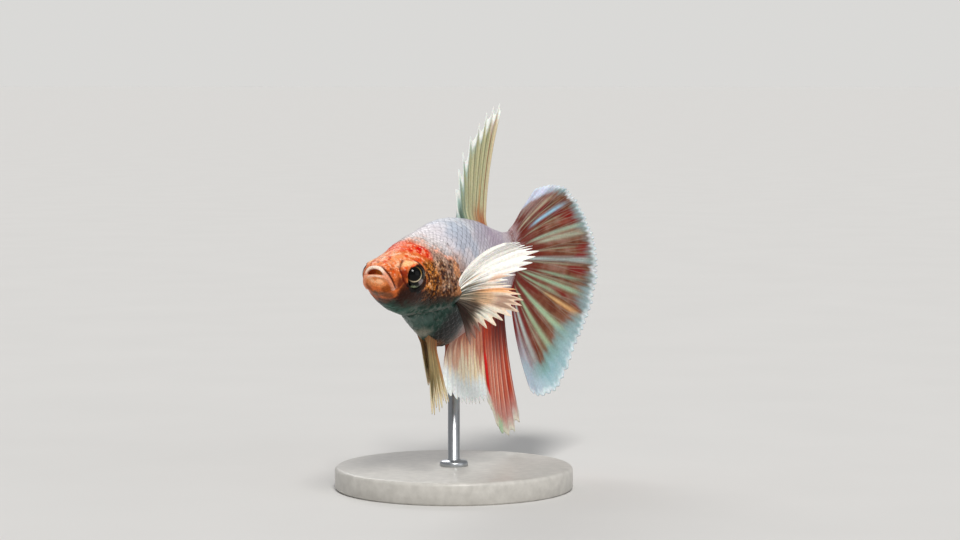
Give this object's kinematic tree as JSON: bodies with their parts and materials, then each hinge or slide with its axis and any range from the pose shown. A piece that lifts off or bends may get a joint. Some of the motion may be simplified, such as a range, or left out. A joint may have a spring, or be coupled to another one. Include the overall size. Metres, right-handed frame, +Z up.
{
  "type": "betta fish",
  "caption": "Life-size model of a male betta fish with a short round tail and large side fins, on a plain display stand.",
  "frame": {"origin": "centre of the underside of the stand's base", "axes": "+Z up; the fish faces -X and its left side is towards -Y"},
  "size_m": [0.0608, 0.032, 0.0518],
  "materials": {
    "head_skin": "moist skin, orange red with brown mottling",
    "body_skin": "scaled skin, silver white with a lilac sheen",
    "eye": "polished, black pupil in a dark iris with a thin gold ring",
    "dorsal_fin": "thin membrane, pale green with brown rays",
    "anal_fin": "thin membrane, cream in front and deep red behind",
    "caudal_fin": "thin membrane, wine red between pale green rays, pale margin",
    "pectoral_fin": "thin membrane, cream white with a peach middle",
    "pelvic_fin": "thin membrane, tan and olive",
    "stand_base": "satin warm grey paint",
    "stand_rod": "fine brushed"
  },
  "bodies": {
    "root": {"head": "head_skin", "lower_jaw": "head_skin", "gill_cover_left": "head_skin", "gill_cover_right": "head_skin", "eye_left": "eye", "eye_right": "eye", "trunk": "body_skin", "tail_stem": "body_skin", "dorsal_fin": "dorsal_fin", "anal_fin": "anal_fin", "caudal_fin": "caudal_fin", "pectoral_fin_left": "pectoral_fin", "pectoral_fin_right": "pectoral_fin", "pelvic_fin_left": "pelvic_fin", "pelvic_fin_right": "pelvic_fin", "stand_base": "stand_base", "stand_rod": "stand_rod"}
  },
  "joints": []
}
